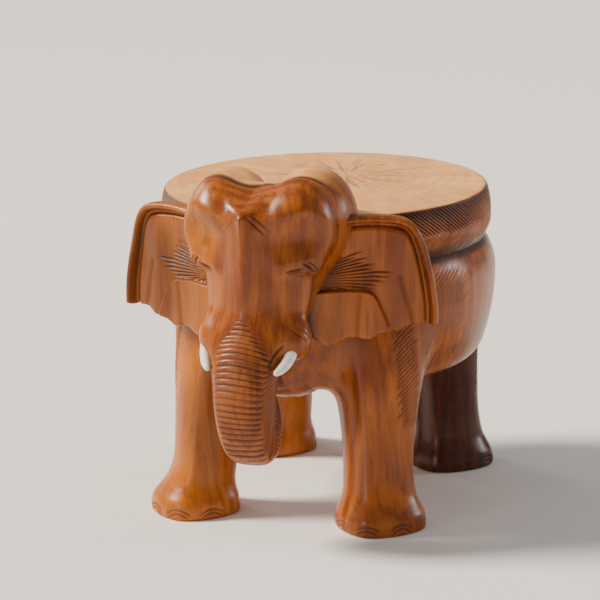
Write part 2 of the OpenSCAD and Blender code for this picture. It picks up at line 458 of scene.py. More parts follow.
def refine(thing, wanted):
    """Splits in four the faces where wanted(points) is true."""
    chosen = wanted(points_of(thing))
    bm = bmesh.new()
    bm.from_mesh(thing.data)
    edges = [e for e in bm.edges if chosen[e.verts[0].index] and chosen[e.verts[1].index]]
    bmesh.ops.subdivide_edges(bm, edges=edges, cuts=1, use_grid_fill=True)
    bm.to_mesh(thing.data)
    bm.free()


def store(thing, name, values):
    """Keeps one number for each point of an object, for its material to read."""
    layer = thing.data.attributes.new(name, "FLOAT", "POINT")
    layer.data.foreach_set("value", values.astype(np.float32))


def mirrored(thing, name):
    """An object's mirror image across the middle plane, as an object of its own."""
    mesh = thing.data.copy()
    twin = add_object(name, mesh)
    put_points(twin, points_of(twin) * (-1.0, 1.0, 1.0))
    mesh.flip_normals()
    return twin


def whole_shape(x, y, z):
    """The whole stool as one field, for finding its hollows."""
    disc = meet(np.sqrt(x * x + y * y) - BAND_R, np.maximum(BAND_Z - z, z - SEAT_Z), 3.0)
    nearest = np.minimum(np.minimum(body_shape(x, y, z), head_shape(x, y, z)), disc)
    return np.minimum(nearest, ear_shape(np.abs(x), y, z))


def hollowness(thing):
    """How shut in each point is, from 0 in the open to 1 deep in a corner."""
    normal = np.zeros(len(thing.data.vertices) * 3)
    thing.data.vertex_normals.foreach_get("vector", normal)
    normal = normal.reshape(-1, 3)
    p = points_of(thing)
    shut = np.zeros(len(p))
    for reach in (2.5, 6.0, 14.0):
        room = np.clip(whole_shape(*(p + normal * reach).T) / reach, 0.0, 1.0)
        shut += (1.0 - room) / 3.0
    return shut


def dress(thing, depth, material, slot, *nodes):
    """Stores how deep a piece is carved and how shut in it is, shades it smooth and joins it to the frame."""
    store(thing, "carved", depth)
    store(thing, "hollow", hollowness(thing))
    thing.data.polygons.foreach_set("use_smooth", [True] * len(thing.data.polygons))
    thing.data.materials.append(material)
    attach(thing, "root")
    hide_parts(*nodes)


def sculpt(name, shape, low, high, voxel, carve, fine):
    """A closed piece: the field's surface, finer where asked, with carving cut along the normals."""
    points, quads = mesh_of(shape, low, high, voxel)
    points = settle(shape, points)
    points = settle(shape, relax(points, quads))
    thing = new_object(name, points, quads)
    refine(thing, fine)
    points = settle(shape, points_of(thing), 2)
    normal, _ = slope_of(shape, points)
    depth = carve(points, normal)
    put_points(thing, points - normal * depth[:, None])
    return thing, depth


# ---- Carving ----


def furrow(phase, sharp):
    """Repeating furrows, 1 at the bottom of each and 0 between; one per unit of phase."""
    return (0.5 + 0.5 * np.cos(2.0 * math.pi * phase)) ** sharp


def ragged(phase, seed):
    """A steady number from 0 to 1 for each furrow, for uneven ends and depths."""
    whole = np.round(phase)
    value = np.sin(whole * 12.9898 + seed * 78.233) * 43758.5453
    return value - np.floor(value)


def stroke(p, points, width, depth):
    """One gouge cut along a line of points: deepest in the middle and shallow at its ends."""
    best = None
    for i in range(len(points) - 1):
        a, b = np.array(points[i]), np.array(points[i + 1])
        t = np.clip(((p - a) @ (b - a)) / ((b - a) @ (b - a)), 0.0, 1.0)
        gap = np.linalg.norm(p - a - t[:, None] * (b - a), axis=1)
        along = (i + t) / (len(points) - 1)
        if best is None:
            best = [gap, along]
        else:
            closer = gap < best[0]
            best = [np.where(closer, gap, best[0]), np.where(closer, along, best[1])]
    taper = np.clip(4.0 * best[1] * (1.0 - best[1]), 0.0, 1.0) ** 0.5
    return depth * taper * np.exp(-((best[0] / width) ** 2))


def carve_trunk(p, normal):
    """Rings across the front of the trunk and slanting cuts down its sides."""
    ring_pitch = 3.9
    first_ring_z, widest_ring_z = 191.0, 160.0
    x, y, z = p.T
    gap, along, side, width, depth, _ = on_trunk(y, z)
    ahead = -gap * side / depth
    front = step(0.0, 0.4, ahead)
    wobble = 0.5 * np.sin(x / 8.0 + along / 23.0) + 0.003 * x * x
    phase = (along - wobble) / ring_pitch
    edge = width * np.where(x < 0.0, 0.84, 0.97)
    reach = np.minimum(np.where(z > widest_ring_z, 6.0 + (first_ring_z - z) * 0.66, edge), edge)
    uneven = ragged(phase, 3.0)
    span = 1.0 - step(reach - 2.5 - 2.0 * uneven, reach + 0.5 - 2.0 * uneven, np.abs(x))
    below_first = step(first_ring_z + 3.0, first_ring_z - 3.0, z) * band(60.0, 400.0, 1.0, along)
    rings = (0.8 + 0.25 * uneven) * furrow(phase, 2.4) * front * span * below_first
    sides = step(0.55, 0.8, np.abs(normal[:, 0])) * step(160.0, 148.0, z) * band(-0.75, 0.72, 0.15, ahead)
    hatch = 0.8 * furrow(phase - ahead * depth / 5.0, 1.6) * sides
    return np.maximum(rings, hatch) * band(75.0, 193.0, 3.0, z)


def both_sides(p, right_side=1.0):
    """The same points folded over to the +x side, for carving that is on both halves."""
    q = p.copy()
    q[:, 0] = fold_over(q[:, 0], right_side)
    return q


def gouge(depth, q, shape, line, width, deep):
    """Adds one cut along a line laid on the surface to the depths at the points q near it."""
    farthest = 34.0
    line = settle(shape, spline(line, 5), 6, 4.0)
    near = np.linalg.norm(q - line.mean(0), axis=1) < farthest
    depth[near] = np.maximum(depth[near], stroke(q[near], line, width, deep))


def carve_head(p, normal):
    """Trunk rings, closed eyes with their wrinkles, the brow's twin cuts, tusk folds and the crest."""
    q = both_sides(p, head_right(p[:, 2]))
    depth = carve_trunk(p, normal)
    inner, outer = np.array(EYE_INNER), np.array(EYE_OUTER)
    middle = (inner + outer) / 2 + (0.0, -1.0, -0.6)
    cuts = [
        # The closed lid, the wrinkle under it and three at its outer corner: line, width, depth.
        ([inner, middle, outer], 1.1, 1.6),
        ([inner + (1, 0, -3.2), middle + (1, 0, -3.0), outer + (0, 0, -3.4)], 0.9, 1.0),
        ([outer + (-1, -2, 4.0), outer + (3, 3, 0.5), outer + (7, 8, -5)], 1.1, 1.5),
        ([outer + (2, 1, 5.0), outer + (6, 6, 1.0), outer + (9, 11, -6)], 0.9, 1.0),
        ([outer + (0, 0, -5), outer + (3, 3, -8), outer + (5, 6, -13)], 1.1, 0.7),
        # The brow's twin cuts.
        ([(4.0, -203.0, 274.0), (11.0, -200.0, 266.5), (18.0, -197.0, 258.0)], 0.75, 1.0),
        ([(8.0, -201.0, 276.0), (14.5, -198.0, 269.0), (21.0, -195.0, 261.0)], 0.7, 0.8),
        # Two wrinkles over the tusk and the fold between it and the trunk.
        ([(36.0, -193.0, 184.0), (40.0, -190.0, 178.0), (44.0, -185.0, 171.0)], 0.8, 1.0),
        ([(40.0, -188.0, 186.0), (43.0, -186.0, 180.0), (46.0, -181.0, 174.0)], 0.8, 0.8),
        ([(33.0, -199.0, 172.0), (30.0, -207.0, 163.0), (27.0, -211.0, 153.0)], 1.1, 1.2),
    ]
    for line, width, deep in cuts:
        gouge(depth, q, head_shape, line, width, deep)
    crest = 1.3 * np.exp(-((behind_crest(*p.T) / 3.6) ** 2)) * step(262.0, 280.0, p[:, 2])
    return np.maximum(depth, crest * step(62.0, 46.0, q[:, 0]))


def place_end_grain(thing):
    """Marks the top of the head behind its crest, where the log's end grain shows as it does on the seat."""
    p = points_of(thing)
    normal, _ = slope_of(head_shape, p)
    side = fold_over(p[:, 0], head_right(p[:, 2]))
    pale = 0.85 * step(-1.0, 6.0, behind_crest(*p.T)) * step(0.05, 0.95, normal[:, 2])
    pale = pale * step(256.0, 264.0, p[:, 2]) * (1.0 - 0.75 * step(40.0, 62.0, side))
    store(thing, "end_grain", pale)


def toenails(q):
    """Two arched cuts for each toenail, with four nails to a foot."""
    x, y, z = q.T
    depth = np.zeros(len(q))
    for foot_x, foot_y, fore, nails in ((FRONT_X, FRONT_Y, 1.0, (-44.0, 2.0, 48.0, 94.0)),
                                        (REAR_X, REAR_Y, -1.0, (-30.0, 14.0, 58.0, 102.0))):
        dx, dy = x - foot_x, (y - foot_y) * fore
        turn = np.degrees(np.arctan2(dx, -dy))
        near = np.hypot(dx, dy) < FOOT_R + 9.0
        for nail in nails:
            across = (turn - nail) * math.radians(FOOT_R)
            for top, half in ((9.2, 11.5), (6.0, 9.5)):
                arch = top - 4.6 * (across / half) ** 2
                lip = np.exp(-((z - arch) ** 2)) * (1.0 - step(half - 2.5, half + 1.0, np.abs(across)))
                depth = np.maximum(depth, 0.95 * lip * near)
    return depth


# The hair on a leg is laid out round its middle, at these shares of the foot's x and y, on this radius.
HAIR_SHARE_X = 0.92
HAIR_SHARE_Y = 0.86
HAIR_R = 38.0
HAIR_PITCH = 3.1


def front_leg_hair(q):
    """Slanting hair on the outer side of a front leg, and the steep fringe behind it."""
    x, y, z = q.T
    turn = np.degrees(np.arctan2(x - FRONT_X * HAIR_SHARE_X, -(y - FRONT_Y * HAIR_SHARE_Y)))
    arc = np.radians(turn) * HAIR_R
    phase = (z * 0.88 - arc * 0.48) / HAIR_PITCH
    uneven = ragged(phase, 1.0)
    patch = band(46.0 + 10.0 * uneven, 90.0 - 8.0 * uneven, 4.0, turn) * band(84.0, 172.0, 6.0, z)
    hair = 0.9 * furrow(phase, 1.4) * patch
    phase = (arc * 0.97 - z * 0.2) / 3.0
    uneven = ragged(phase, 2.0)
    patch = band(102.0, 128.0, 5.0, turn) * band(70.0 + 15.0 * uneven, 150.0 - 20.0 * uneven, 5.0, z)
    return np.maximum(hair, 0.7 * furrow(phase, 1.4) * patch)


def rear_leg_hair(q):
    """Slanting hair on the outer side of a rear leg."""
    x, y, z = q.T
    turn = np.degrees(np.arctan2(x - REAR_X * HAIR_SHARE_X, y - REAR_Y * HAIR_SHARE_Y))
    arc = np.radians(turn) * HAIR_R
    phase = (z * 0.88 + arc * 0.48) / HAIR_PITCH
    uneven = ragged(phase, 4.0)
    patch = band(80.0 + 8.0 * uneven, 128.0 - 8.0 * uneven, 4.0, turn) * band(70.0, 150.0, 5.0, z)
    return 0.6 * furrow(phase, 1.4) * patch


def flank_hair(q):
    """Short hair on the barrel behind an ear."""
    x, y, z = q.T
    turn = np.degrees(np.arctan2(x, -y))
    phase = (z * 0.8 - np.radians(turn) * BODY_R * 0.6) / 3.2
    uneven = ragged(phase, 5.0)
    patch = band(57.0, 68.0 + 7.0 * uneven, 2.5, turn) * band(176.0, 206.0, 4.0, z)
    return 0.5 * furrow(phase, 1.4) * patch


def carve_body(p, _):
    """Toenails, and the hair on the legs and behind the ears."""
    q = both_sides(p)
    return np.maximum.reduce([toenails(q), front_leg_hair(q), rear_leg_hair(q), flank_hair(q)])


def carve_ear(p, normal):
    """A fan of hair that spreads over the ear from the corner of the eye, and soft folds."""
    pivot_out, pivot_z = -26.0, 216.0
    degrees_apart = 2.9
    out, front = on_ear(p[:, 0], p[:, 1])
    z = p[:, 2]
    turn = np.degrees(np.arctan2(z - pivot_z, out - pivot_out))
    radius = np.hypot(out - pivot_out, z - pivot_z)
    phase = turn / degrees_apart
    uneven = ragged(phase, 7.0)
    length = 88.0 - 1.2 * np.abs(turn - 3.0) - 16.0 * uneven
    fan = band(-26.0, 30.0, 1.5, turn) * (1.0 - step(length - 12.0, length, radius))
    forward = normal @ (math.sin(EAR_SWEEP), -math.cos(EAR_SWEEP), 0.0)
    facing = step(-7.0, -5.0, front) * step(0.2, 0.5, forward)
    above_lobe = step(-1.0, 2.5, inside_of(out, z, EAR_LOBE))
    hair = (1.05 + 0.5 * uneven) * furrow(phase, 1.3) * fan * facing * above_lobe
    fold = np.zeros(len(p))
    for start, end in (((30.0, 203.0), (27.0, 165.0)), ((63.0, 215.0), (73.0, 175.0))):
        gap, _, _ = nearest_on_path(out, z, np.array([start, end]))
        fold = np.maximum(fold, 0.6 * np.exp(-((gap / 3.0) ** 2)) * facing)
    return np.maximum(hair, fold)


# ---- Seat ----


# Height at which the band's two rows of strokes meet, the strokes in each row, how far they lean sideways
# for each unit of height, and the columns of the mesh round the seat.
MIDDLE_Z = BAND_Z + 21.5
UPPER_STROKES = 210
LOWER_STROKES = 300
UPPER_LEAN = 1.3
LOWER_LEAN = 1.8
SEAT_COLUMNS = 1260


def ring_faces(rows, columns):
    """Quads between closed rings of points that follow each other in one list."""
    return [(r * columns + c, r * columns + (c + 1) % columns, (r + 1) * columns + (c + 1) % columns,
             (r + 1) * columns + c) for r in range(rows - 1) for c in range(columns)]


def end_faces(rows, columns, first, last):
    """Triangles that close the first and the last ring, each round one point."""
    start = (rows - 1) * columns
    faces = [(first, (c + 1) % columns, c) for c in range(columns)]
    return faces + [(last, start + c, start + (c + 1) % columns) for c in range(columns)]


def seat_profile():
    """The seat's outline from its underside, round the band, to its top: radius, height."""
    waist = BAND_R - 6.0
    side = spline([(waist - 3.0, BAND_Z), (waist - 0.5, BAND_Z + 1.5), (waist + 2.0, BAND_Z + 6.0),
                   (BAND_R - 0.6, BAND_Z + 14.0), (BAND_R, BAND_Z + 22.0), (BAND_R - 0.4, BAND_Z + 32.0),
                   (BAND_R - 2.2, SEAT_Z - 4.5), (BAND_R - 3.2, SEAT_Z - 1.6),
                   (BAND_R - 4.6, SEAT_Z - 0.3)], 5)
    under = [(r, BAND_Z) for r in (30.0, 80.0, waist - 12.0)]
    top = [(r, SEAT_Z) for r in (BAND_R - 6.5, BAND_R - 11.0, 90.0, 40.0)]
    return np.vstack([under, side, top])


def make_seat(material):
    """The seat disc with its band carved in herringbone: deep strokes above, fine ones below.

    The columns of the mesh lean with the strokes, so that each stroke runs along whole columns.
    """
    columns = SEAT_COLUMNS
    profile = seat_profile()
    rows = len(profile)
    radius, height = profile[:, 0][:, None], profile[:, 1][:, None]
    on_band = step(BAND_R - 8.0, BAND_R - 4.0, radius)
    rise = height - MIDDLE_Z
    lean = np.where(height > MIDDLE_Z, -UPPER_LEAN, LOWER_LEAN) * rise
    turn = (np.arange(columns) * 2.0 * math.pi / columns)[None, :] + lean / BAND_R
    whole_turn = turn / (2.0 * math.pi)
    upper_phase = (whole_turn + UPPER_LEAN * rise / (2.0 * math.pi * BAND_R)) * UPPER_STROKES
    lower_phase = (whole_turn - LOWER_LEAN * rise / (2.0 * math.pi * BAND_R)) * LOWER_STROKES
    uneven = ragged(np.mod(np.round(upper_phase), UPPER_STROKES), 11.0)
    middle = MIDDLE_Z + 1.2 * np.sin(turn * 19.0) + 3.0 * (uneven - 0.5)
    upper = (1.0 + 0.35 * uneven) * furrow(upper_phase, 1.2) * step(middle - 0.5, middle + 2.0, height)
    upper = upper * step(SEAT_Z - 0.6, SEAT_Z - 2.6, height)
    uneven = ragged(np.mod(np.round(lower_phase), LOWER_STROKES), 12.0)
    lower = (0.3 + 0.25 * uneven) * furrow(lower_phase, 1.3) * step(middle + 1.0, middle - 2.0, height)
    lower = lower * step(BAND_Z + 1.0 + 8.0 * uneven, BAND_Z + 5.0 + 8.0 * uneven, height)
    depth = (upper + lower) * on_band
    carved = radius - depth
    level = np.broadcast_to(height, turn.shape)
    points = np.stack([carved * np.sin(turn), -carved * np.cos(turn), level], -1).reshape(-1, 3)
    faces = ring_faces(rows, columns)
    bottom, top = len(points), len(points) + 1
    points = np.vstack([points, [(0.0, 0.0, BAND_Z), (0.0, 0.0, SEAT_Z)]])
    faces += end_faces(rows, columns, bottom, top)
    seat = new_object("seat_disc", points, faces)
    on_top = np.broadcast_to(step(BAND_R - 4.0, BAND_R - 5.0, radius) * (height > MIDDLE_Z), turn.shape)
    store(seat, "end_grain", np.append(on_top.ravel(), [0.0, 1.0]))
    dress(seat, np.append(depth.ravel(), [0.0, 0.0]), material, "seat_wood", "seat")


# ---- Tusks and tail ----


def make_tube(name, line, radii, sides):
    """A closed tube along a line, with a radius at each of its points."""
    rings = []
    angles = np.arange(sides) * 2.0 * math.pi / sides
    for i, centre in enumerate(line):
        ahead = line[min(i + 1, len(line) - 1)] - line[max(i - 1, 0)]
        ahead = ahead / np.linalg.norm(ahead)
        across = np.cross(ahead, (0.3, 0.2, 1.0))
        across = across / np.linalg.norm(across)
        other = np.cross(ahead, across)
        rings.append(centre + radii[i] * (np.cos(angles)[:, None] * across + np.sin(angles)[:, None] * other))
    points = np.vstack(rings + [line[:1], line[-1:]])
    first, last = len(points) - 2, len(points) - 1
    faces = ring_faces(len(line), sides) + end_faces(len(line), sides, first, last)
    return new_object(name, points, faces)


TUSK_R = 4.7
TUSK_TIP_R = 0.9
# The right tusk mirrors the left one and stands a little nearer to the middle.
RIGHT_TUSK = -0.985


def make_tusk(name, mirror, material, node):
    """A short blunt tusk, a little curved, whose root goes into the cheek. Its x is multiplied by mirror."""
    root, tip = np.array(TUSK_ROOT), np.array(TUSK_TIP)
    ahead = tip - root
    bend = np.array([1.5, 0.5, -2.4])
    t = np.linspace(-0.3, 1.0, 27)
    line = root + t[:, None] * ahead + (4.0 * t * (1.0 - t)).clip(0.0)[:, None] * bend
    line[:, 0] *= mirror
    taper = (np.clip(t - 0.1, 0.0, 1.0) / 0.95) ** 2.2
    radii = TUSK_R * np.sqrt(np.clip(1.0 - taper, 0.0, 1.0))
    radii[-1] = TUSK_TIP_R
    tusk = make_tube(name, line, radii, 40)
    dress(tusk, np.zeros(len(tusk.data.vertices)), material, "tusk", node)


def tail_shape(x, y, z):
    """A tail in relief down the rump, with a tuft at its end."""
    # Points down the tail, each with the radius there.
    line = [((0.0, TAIL_Y - 13.0, 208.0), 7.0), ((0.0, TAIL_Y - 6.5, 188.0), 6.0),
            ((0.0, TAIL_Y - 7.0, 160.0), 5.0), ((0.0, TAIL_Y - 11.0, 140.0), 5.5)]
    whole = None
    for (start, r_start), (end, r_end) in zip(line, line[1:]):
        piece = limb(x, y, z, start, end, r_start, r_end)
        whole = piece if whole is None else join(whole, piece, 4.0)
    tuft = egg(x, y, z, (0.0, TAIL_Y - 14.5, 126.0), (8.5, 8.0, 19.0))
    return join(whole, tuft, 5.0)


def carve_tail(p, normal):
    """Rings down the tail and hair in its tuft, on the side that shows."""
    x, _, z = p.T
    rings = 0.6 * furrow(z / 4.2, 1.4) * band(146.0, 206.0, 3.0, z)
    hair = 0.8 * furrow(x / 2.6 + z / 30.0, 1.3) * step(142.0, 134.0, z)
    return (rings + hair) * step(0.1, 0.5, normal[:, 1])


# ---- Materials ----


class Nodes:
    """A short way to lay out shader nodes."""

    def __init__(self, name):
        self.material = bpy.data.materials.new(name)
        self.material.use_nodes = True
        self.tree = self.material.node_tree
        self.shader = self.tree.nodes["Principled BSDF"]

    def add(self, kind, inputs=(), **settings):
        """A node with its settings and inputs; an input is a value or another node's output."""
        node = self.tree.nodes.new(kind)
        for key, value in settings.items():
            setattr(node, key, value)
        for key, value in dict(inputs).items():
            self.link(value, node.inputs[key])
        return node

    def link(self, value, socket):
        """Gives a socket another node's output, or a plain value."""
        if isinstance(value, bpy.types.NodeSocket):
            self.tree.links.new(value, socket)
        else:
            socket.default_value = value

    def math(self, operation, a, b):
        """Two numbers put together."""
        return self.add("ShaderNodeMath", {0: a, 1: b}, operation=operation).outputs[0]

    def vector(self, operation, a, b=(0.0, 0.0, 0.0)):
        """Two vectors put together."""
        return self.add("ShaderNodeVectorMath", {0: a, 1: b}, operation=operation).outputs[0]

    def spread(self, value, low, high, to_low=0.0, to_high=1.0):
        """value mapped from low..high to to_low..to_high, smoothly and clamped."""
        inputs = {"Value": value, "From Min": low, "From Max": high, "To Min": to_low, "To Max": to_high}
        return self.add("ShaderNodeMapRange", inputs, interpolation_type="SMOOTHSTEP").outputs[0]

    def noise(self, place, scale, detail, rough):
        """Noise with a number and a colour as its outputs."""
        inputs = {"Vector": place, "Scale": scale, "Detail": detail, "Roughness": rough}
        return self.add("ShaderNodeTexNoise", inputs)

    def stretch(self, place, scale, shift=(0.0, 0.0, 0.0)):
        """A place scaled and shifted, so that what it carries is drawn out along the small scales."""
        node = self.add("ShaderNodeMapping", {"Vector": place, "Location": shift, "Scale": scale})
        return node.outputs[0]

    def mix(self, amount, a, b, blend="MIX"):
        """Colour a with an amount of colour b."""
        node = self.add("ShaderNodeMix", data_type="RGBA", blend_type=blend)
        self.link(amount, node.inputs[0])
        self.link(a, node.inputs[6])
        self.link(b, node.inputs[7])
        return node.outputs[2]

    def near(self, place, middle, radius):
        """1 at a point given in millimetres from the foot of the seat's axis, fading to 0 at the radius."""
        point = tuple((m + o) * MM for m, o in zip(middle, AXIS))
        node = self.add("ShaderNodeVectorMath", {0: place, 1: point}, operation="DISTANCE")
        return self.spread(node.outputs["Value"], radius * MM, 0.3 * radius * MM)

    def attribute(self, name):
        """A number stored for each point of the mesh."""
        return self.add("ShaderNodeAttribute", attribute_name=name, attribute_type="GEOMETRY").outputs["Fac"]


# Colours of the wood: two for the long grain, the log's paler and darker parts with painted light and shade,
# the seat's end grain made brighter as a painted sheen, and painted shade with dirt in corners and furrows.
GOLD = (0.42, 0.110, 0.006, 1)
BROWN = (0.185, 0.037, 0.005, 1)
SAPWOOD_AND_SUNLIT_GOLD = (0.58, 0.19, 0.006, 1)
HEART = (0.052, 0.013, 0.006, 1)
HEART_AND_SHADE_TINT = (0.13, 0.085, 0.25, 1)
SEAT_PALE_AND_SHEEN = (1.0, 0.50, 0.16, 1)
SEAT_WARM_AND_SHEEN = (0.86, 0.35, 0.085, 1)
SEAT_GREY = (0.30, 0.13, 0.06, 1)
SHADE_AND_DIRT = (0.016, 0.005, 0.003, 1)


# The middle of the log's growth rings, to the left of and behind the seat's axis, and how far out the dark
# rays of its end grain reach.
PITH_X = 5.0
PITH_Y = 38.0
RAY_REACH = 95.0
# Where the wood is darkened: middle, radius and strength. The first, on the left hind leg, is dark heartwood
# and painted shade; the second, on the right ear, is painted shade over its sunlit face; the rest are
# heartwood.
HEARTWOOD_AND_SHADE = (
    ((88.0, 84.0, 40.0), 150.0, 0.85),
    ((-112.0, -140.0, 205.0), 85.0, 0.62),
    ((0.0, -205.0, 125.0), 85.0, 0.2),
    ((42.0, -180.0, 250.0), 50.0, 0.18),
    ((-34.0, -140.0, 75.0), 80.0, 0.32),
)


def heartwood_and_shade(n, place):
    """How dark the heartwood and the painted shade are, from 0 to 1."""
    dark = 0.0
    for middle, radius, strength in HEARTWOOD_AND_SHADE:
        dark = n.math("MAXIMUM", dark, n.math("MULTIPLY", n.near(place, middle, radius), strength))
    return dark


def end_grain_colour(n, place, centred, rings, wide, patch):
    """The log cut across: pale, brightened as painted sheen, rays from the pith dark near it, greyer patches.
    """
    flat = n.vector("MULTIPLY", centred, (1.0, 1.0, 0.0))
    spoke = n.vector("ADD", n.vector("NORMALIZE", flat), n.vector("MULTIPLY", flat, (1.6, 1.6, 0.0)))
    rays = n.noise(spoke, 9.0, 5.0, 0.62).outputs["Fac"]
    faint = n.math("ADD", n.math("MULTIPLY", rings, 0.08), n.math("MULTIPLY", wide, 0.45))
    faint = n.math("ADD", faint, n.math("MULTIPLY", rays, 0.45))
    colour = n.mix(n.spread(faint, 0.38, 0.60), SEAT_WARM_AND_SHEEN, SEAT_PALE_AND_SHEEN)
    near_pith = n.near(place, (PITH_X, PITH_Y, SEAT_Z), RAY_REACH)
    dark_ray = n.math("MULTIPLY", n.spread(rays, 0.47, 0.62), near_pith)
    colour = n.mix(n.math("MULTIPLY", dark_ray, 0.85), colour, SEAT_GREY)
    return n.mix(n.spread(patch, 0.55, 0.75, 0.0, 0.45), colour, SEAT_GREY)


def wood(name, has_end_grain):
    """Varnished wood of one log: rings round the pith, streaks along the grain, pores and dark furrows."""
    n = Nodes(name)
    place = n.add("ShaderNodeTexCoord").outputs["Object"]
    centred = n.stretch(place, (1.0, 1.0, 1.0), (-PITH_X * MM, -(AXIS[1] + PITH_Y) * MM, 0.0))
    slow = n.noise(n.stretch(centred, (1.0, 1.0, 0.35)), 9.0, 3.0, 0.55).outputs["Color"]
    bent = n.vector("ADD", centred, n.vector("MULTIPLY", slow, (0.04, 0.04, 0.05)))
    rings = n.add("ShaderNodeTexWave", {"Vector": n.stretch(bent, (1.0, 1.0, 0.12)), "Scale": 30.0,
                                        "Distortion": 3.0, "Detail": 3.0, "Detail Scale": 1.5,
                                        "Detail Roughness": 0.6},
                  wave_type="RINGS", rings_direction="Z").outputs["Fac"]
    streaks = n.noise(n.stretch(bent, (1.0, 1.0, 0.045)), 230.0, 6.0, 0.62).outputs["Fac"]
    wide = n.noise(n.stretch(bent, (1.0, 1.0, 0.13)), 38.0, 4.0, 0.6).outputs["Fac"]
    patch = n.noise(n.stretch(centred, (1.0, 1.0, 0.28)), 8.5, 2.0, 0.5).outputs["Fac"]
    pores = n.noise(n.stretch(place, (1.0, 1.0, 0.07)), 1500.0, 2.0, 0.5).outputs["Fac"]

    # The grain, a little paler on the log's right side: partly its sapwood and partly painted light on the
    # side the sun falls on.
    grain = n.math("ADD", n.math("MULTIPLY", rings, 0.10), n.math("MULTIPLY", streaks, 0.42))
    grain = n.math("ADD", grain, n.math("MULTIPLY", wide, 0.45))
    across = n.add("ShaderNodeSeparateXYZ", {"Vector": centred}).outputs[0]
    paler_and_sunlit = n.spread(n.math("ADD", across, n.math("MULTIPLY", wide, 0.06)), 0.02, -0.06, 0.0, 0.08)
    colour = n.mix(n.spread(n.math("ADD", grain, paler_and_sunlit), 0.36, 0.66), BROWN, GOLD)
    sapwood_and_sunlit = n.spread(n.math("ADD", across, n.math("MULTIPLY", streaks, 0.04)), 0.012, -0.05, 0.0, 0.16)
    colour = n.mix(sapwood_and_sunlit, colour, SAPWOOD_AND_SUNLIT_GOLD)
    colour = n.mix(n.spread(wide, 0.50, 0.68, 0.0, 0.5), colour, BROWN)

    # Dark blotches, and the darkening of the heartwood and of the painted shade, which tints the grain and
    # keeps its figure.
    heart_and_shade = heartwood_and_shade(n, place)
    blotch = n.math("ADD", n.math("MULTIPLY", wide, 0.5), n.math("MULTIPLY", patch, 0.6))
    blotch = n.math("ADD", blotch, n.math("MULTIPLY", heart_and_shade, 0.10))
    colour = n.mix(n.spread(blotch, 0.56, 0.78, 0.0, 0.5), colour, HEART)
    colour = n.mix(heart_and_shade, colour, HEART_AND_SHADE_TINT, "MULTIPLY")
    if has_end_grain:
        top = end_grain_colour(n, place, centred, rings, wide, patch)
        colour = n.mix(n.attribute("end_grain"), colour, top)

    # Pores, and painted shade with settled dirt in corners and furrows.
    colour = n.mix(n.spread(pores, 0.60, 0.72, 0.0, 0.3), colour, HEART)
    colour = n.mix(n.spread(n.attribute("hollow"), 0.20, 0.78, 0.0, 0.84), colour, SHADE_AND_DIRT)
    colour = n.mix(n.spread(n.attribute("carved"), 0.1, 1.1, 0.0, 0.72), colour, SHADE_AND_DIRT)
    n.link(colour, n.shader.inputs["Base Color"])

    # The varnish is glossy on the open wood and duller in the furrows.
    gloss = n.spread(streaks, 0.3, 0.7, 0.24, 0.36)
    roughness = n.math("ADD", gloss, n.spread(n.attribute("carved"), 0.0, 0.5, 0.0, 0.3))
    n.link(roughness, n.shader.inputs["Roughness"])
    n.shader.inputs["Specular IOR Level"].default_value = 0.34
    sanding = n.noise(place, 60.0, 2.0, 0.5).outputs["Fac"]
    height = n.math("ADD", n.math("MULTIPLY", pores, 0.4), n.math("MULTIPLY", streaks, 0.4))
    height = n.math("ADD", height, n.math("MULTIPLY", sanding, 2.2))
    bump = n.add("ShaderNodeBump", {"Height": height, "Strength": 0.22, "Distance": 0.0006})
    n.link(bump.outputs[0], n.shader.inputs["Normal"])
    return n.material


TUSK_PALE = (0.86, 0.84, 0.79, 1)
TUSK_WORN = (0.62, 0.57, 0.5, 1)


def ivory():
    """A tusk's white: chalky, with faint streaks."""
    n = Nodes("tusk_white")
    place = n.add("ShaderNodeTexCoord").outputs["Object"]
    streaks = n.noise(n.stretch(place, (1.0, 0.4, 0.4)), 420.0, 5.0, 0.65).outputs["Fac"]
    colour = n.mix(n.spread(streaks, 0.35, 0.7), TUSK_PALE, TUSK_WORN)
    n.link(colour, n.shader.inputs["Base Color"])
    n.link(n.spread(streaks, 0.3, 0.7, 0.4, 0.6), n.shader.inputs["Roughness"])
    bump = n.add("ShaderNodeBump", {"Height": streaks, "Strength": 0.3, "Distance": 0.0005})
    n.link(bump.outputs[0], n.shader.inputs["Normal"])
    return n.material


# ---- The pieces ----

body_wood = wood("body_wood", False)
head_wood = wood("head_wood", True)
seat_wood = wood("seat_wood", True)
tusk_white = ivory()


def fine_body(p):
    """Where the body needs small faces: the feet, and the hair on the legs and flanks."""
    x, y, z = np.abs(p[:, 0]), p[:, 1], p[:, 2]
    foot = z < 17.0
    hair = (z > 66.0) & (z < 172.0) & (x > 70.0) & (np.abs(y) > 38.0) & (np.hypot(x, y) > 90.0)
    flank = (z > 172.0) & (z < 210.0) & (y < -30.0) & (y > -95.0) & (x > 90.0)
    return foot | hair | flank


def fine_head(p):
    """Where the head needs small faces: the trunk, the eyes, the brow's cuts and the crest."""
    trunk = (p[:, 2] < 196.0) & (p[:, 1] < -146.0)
    eyes = (p[:, 2] > 218.0) & (p[:, 2] < 246.0) & (np.abs(p[:, 0]) > 26.0) & (p[:, 1] < -155.0)
    brow = (p[:, 2] > 252.0) & (np.abs(p[:, 0]) < 26.0) & (p[:, 1] < -184.0)
    crest = (p[:, 2] > 262.0) & (np.abs(behind_crest(*p.T)) < 7.0)
    return trunk | eyes | brow | crest


def fine_ear(p):
    """Where an ear needs small faces: the front of it, under the fan of hair."""
    out, front = on_ear(p[:, 0], p[:, 1])
    return (front > -6.0) & (p[:, 2] > 194.0) & (p[:, 2] < 254.0) & (out < 68.0)


def all_points(p):
    """Everywhere, for a piece that is small and carved all over."""
    return np.ones(len(p), bool)


